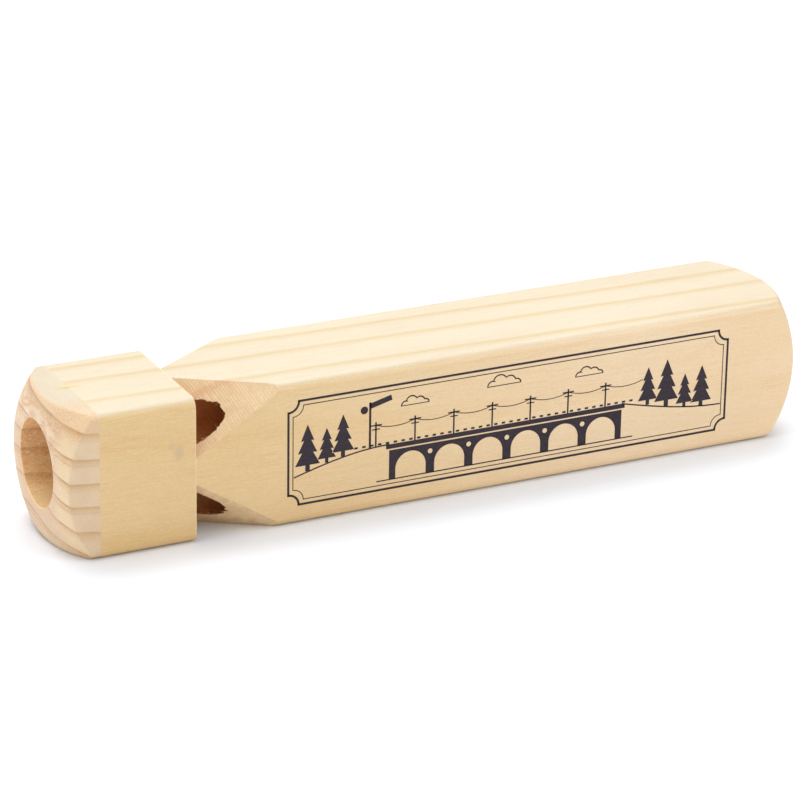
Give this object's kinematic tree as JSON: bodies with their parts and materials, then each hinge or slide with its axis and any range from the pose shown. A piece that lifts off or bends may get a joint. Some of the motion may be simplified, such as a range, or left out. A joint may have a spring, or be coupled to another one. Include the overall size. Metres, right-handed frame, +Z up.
{
  "type": "train whistle",
  "caption": "Square wooden bar whistle with a round mouth bore, notched corners and domed ends; blown, it sounds a steam train's chord.",
  "frame": {"origin": "under the middle of the whistle, on the surface that it lies on", "axes": "+X along the bar from the mouth to the tail, +Z up, -Y towards the side that faces the camera"},
  "size_m": [0.1912, 0.035, 0.035],
  "materials": {
    "block_wood": "sanded pale pine, long grain, thin clear coat",
    "cap_wood": "sanded pale pine, cross grain with end grain at the sides",
    "plug_wood": "raw hardwood dowel",
    "print_ink": null
  },
  "bodies": {
    "root": {"whistle_block": "block_wood", "mouth_cap": "cap_wood", "fipple_plug_upper_front": "plug_wood", "fipple_plug_upper_back": "plug_wood", "fipple_plug_lower_front": "plug_wood", "fipple_plug_lower_back": "plug_wood"}
  },
  "joints": []
}
